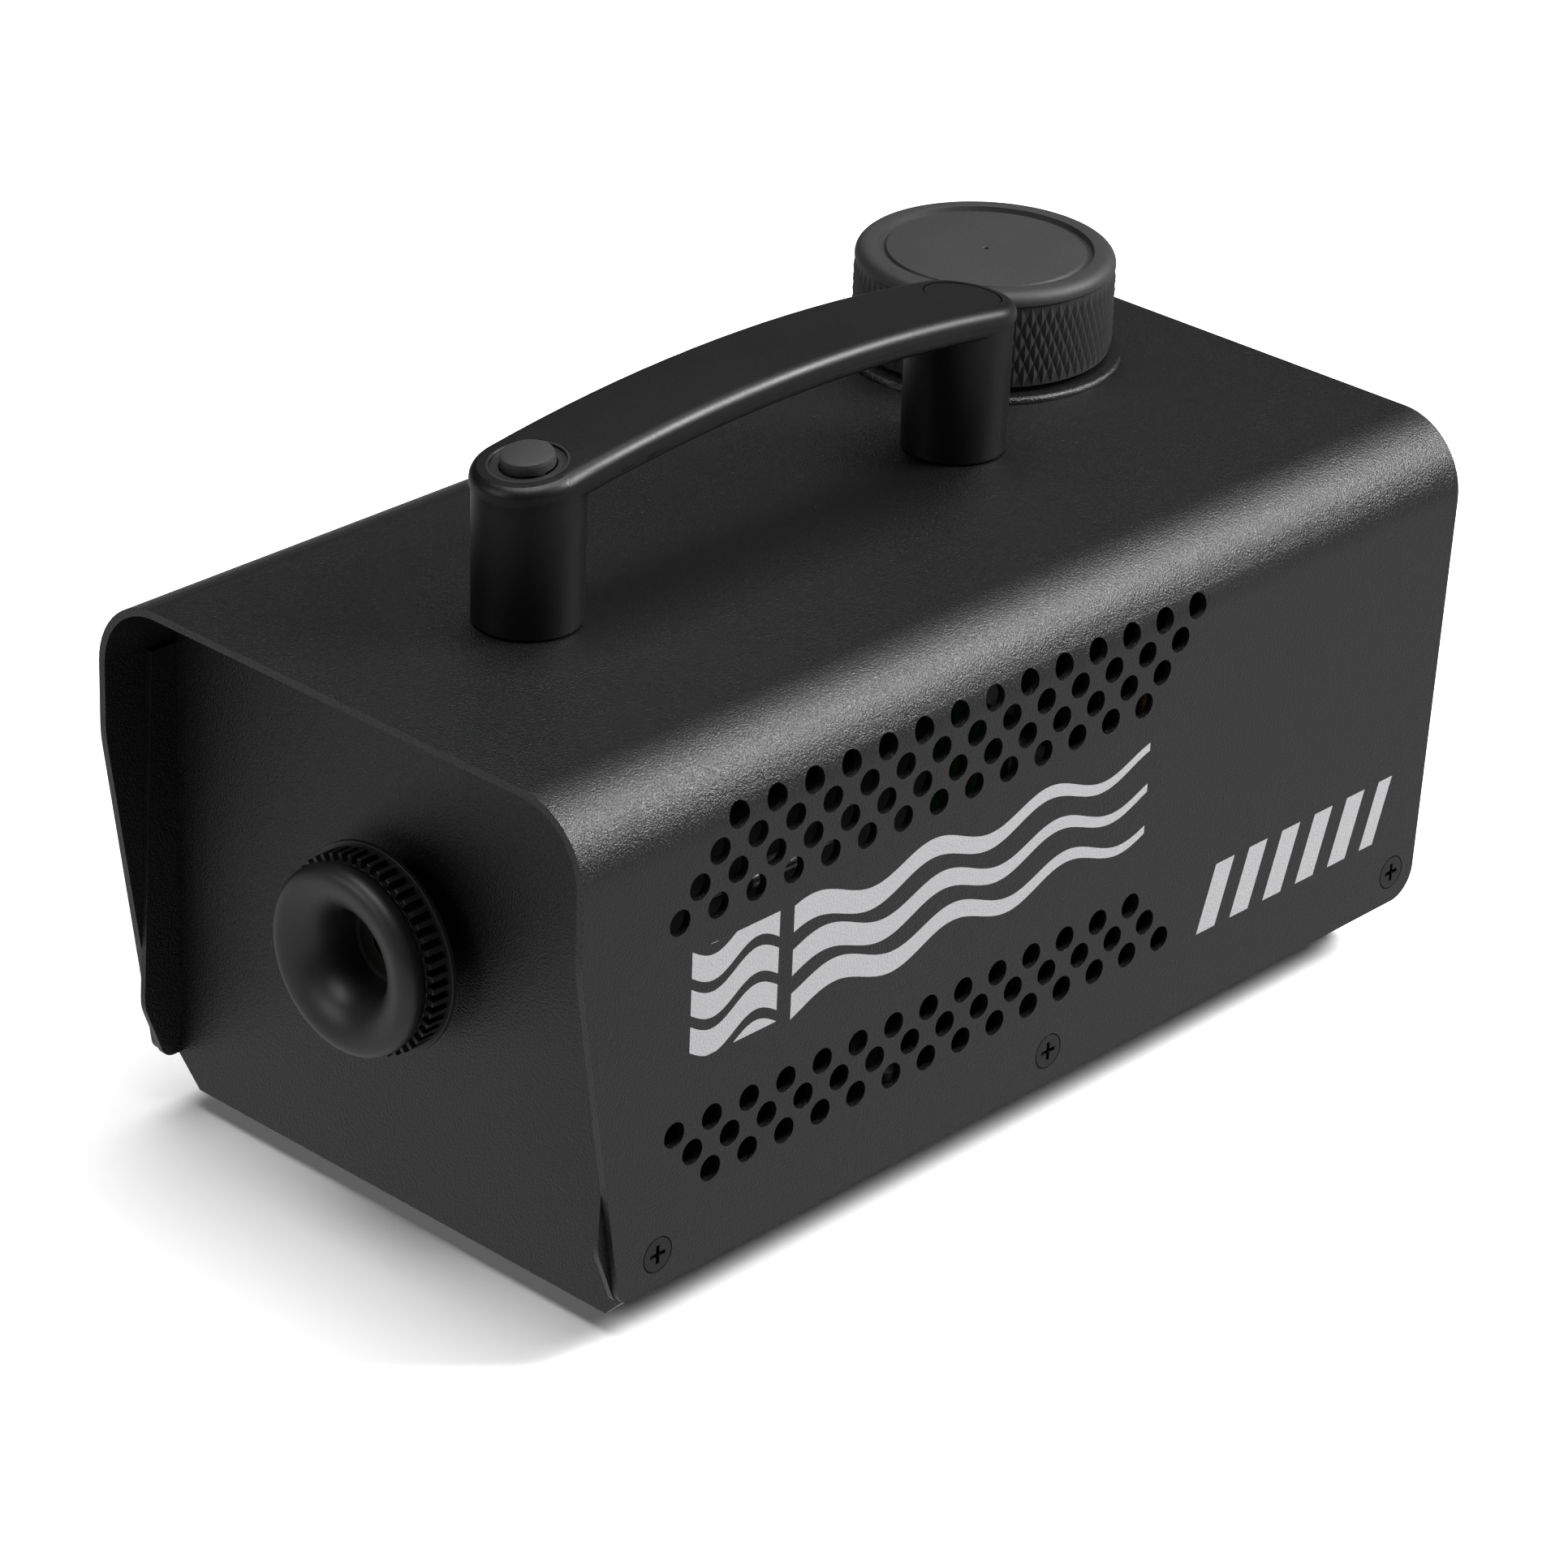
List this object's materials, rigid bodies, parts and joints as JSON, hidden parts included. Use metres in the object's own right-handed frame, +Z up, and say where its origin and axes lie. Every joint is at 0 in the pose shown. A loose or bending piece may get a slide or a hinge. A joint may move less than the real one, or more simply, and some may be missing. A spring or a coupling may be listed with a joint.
{
  "type": "fog machine",
  "caption": "Compact fog machine: folded perforated metal case, flared front nozzle, bridge handle with a trigger button, round knurled tank cap and a rear mains panel.",
  "frame": {"origin": "on the bench, under the middle of the machine's overall outline", "axes": "-Y is the front, where the nozzle blows; +Z is up; +X is to the right seen from the front"},
  "size_m": [0.117, 0.2292, 0.1401],
  "materials": {
    "cover_paint": "black powder coat, fine orange peel, half matt",
    "chassis_paint": "black powder coat, fine orange peel, half matt",
    "handle_plastic": "moulded black, satin gloss",
    "trigger_plastic": "moulded black, matt",
    "black_metal": "black anodised turned metal, satin",
    "stem_metal": "turned, darkened by heat",
    "bush_plastic": "heat-resisting black, matt",
    "black_screw": "black zinc, satin",
    "zinc_screw": "bright zinc",
    "foot_rubber": "moulded, matt",
    "tank_plastic": "blow-moulded, milky, slightly see-through",
    "cap_plastic": "moulded black, matt",
    "liner_foam": "soft white foam",
    "cushion_foam": "open-cell grey foam",
    "bent_steel": "zinc-plated sheet",
    "coil_plastic": "moulded, matt",
    "pump_brass": "turned",
    "pump_plastic": "moulded, matt",
    "piston_steel": "ground",
    "spring_steel": "drawn wire",
    "hose_silicone": "clear silicone",
    "pipe_copper": "drawn copper",
    "heater_cast": "die-cast",
    "wool": "mineral wool",
    "shroud_sheet": "heat-resisting black paint",
    "thermostat_case": "phenolic",
    "fuse_case": "bright can",
    "board_laminate": "green solder mask",
    "board_component": "mixed moulded bodies",
    "inlet_plastic": "moulded black, satin",
    "pin_metal": "nickel-plated blades",
    "drawer_plastic": "moulded black, satin",
    "fuse_glass": "clear tube",
    "switch_plastic": "moulded black, satin",
    "rocker_plastic": "moulded black, gloss",
    "lamp_lens": "clear red lens"
  },
  "bodies": {
    "machine": {"top_cover": "cover_paint", "chassis": "chassis_paint", "rear_panel": "chassis_paint", "cover_screws": "black_screw", "rear_panel_screws": "zinc_screw", "rubber_feet": "foot_rubber", "foot_screws": "zinc_screw", "nozzle_stem": "stem_metal", "nozzle_bush": "bush_plastic", "nozzle_ring": "black_metal", "nozzle_bell": "black_metal", "handle_shell": "handle_plastic", "handle_base": "handle_plastic", "trigger_switch": "switch_plastic", "trigger_bezel": "black_metal", "handle_plug": "handle_plastic", "handle_screws": "zinc_screw", "tank": "tank_plastic", "tank_strap": "bent_steel", "tank_cushion": "cushion_foam", "pump_yoke": "bent_steel", "pump_coil": "coil_plastic", "pump_barrel": "pump_brass", "pump_inlet": "pump_plastic", "pump_spring": "spring_steel", "pump_bracket": "bent_steel", "suction_hose": "hose_silicone", "pressure_pipe": "pipe_copper", "heater_block": "heater_cast", "heater_wool": "wool", "heater_shroud": "shroud_sheet", "heater_screws": "zinc_screw", "thermostat": "thermostat_case", "thermal_fuse": "fuse_case", "control_board": "board_laminate", "board_parts": "board_component", "board_bracket": "bent_steel", "board_screws": "zinc_screw", "mains_inlet": "inlet_plastic", "inlet_pins": "pin_metal", "inlet_screws": "zinc_screw", "power_switch": "switch_plastic", "ready_lamp": "lamp_lens"},
    "trigger": {"trigger_button": "trigger_plastic"},
    "cap_seal": {"cap_liner": "liner_foam"},
    "cap": {"tank_cap": "cap_plastic"},
    "rocker": {"rocker": "rocker_plastic"},
    "drawer": {"fuse_drawer": "drawer_plastic", "fuse": "fuse_glass"},
    "piston": {"pump_piston": "piston_steel"}
  },
  "joints": [
    {"name": "trigger_press", "type": "slide", "parent": "machine", "child": "trigger", "axis": [0, 0.1473, -0.9891], "range_m": [0, 0.002], "stiffness_N_per_m": 600, "springref_m": -0.0005},
    {"name": "cap_lift", "type": "slide", "parent": "machine", "child": "cap_seal", "axis": [0, 0, 1], "range_m": [0, 0.0101]},
    {"name": "cap_turn", "type": "hinge", "parent": "cap_seal", "child": "cap", "pos_m": [-0.0265, 0.0755, 0.12], "axis": [0, 0, 1], "range_deg": [0, 900]},
    {"name": "power_rocker", "type": "hinge", "parent": "machine", "child": "rocker", "pos_m": [0.028, 0.1065, 0.076], "axis": [1, 0, 0], "range_deg": [0, 18]},
    {"name": "drawer_slide", "type": "slide", "parent": "machine", "child": "drawer", "axis": [0, 1, 0], "range_m": [0, 0.02]},
    {"name": "piston_stroke", "type": "slide", "parent": "machine", "child": "piston", "axis": [0, 0, 1], "range_m": [-0.0015, 0.0015], "stiffness_N_per_m": 400, "springref_m": 0.0003, "deforming": ["pump_spring"]}
  ],
  "couplings": [
    {"joint": "cap_lift", "follows": "cap_turn", "m_per_rad": 0.00063662}
  ]
}
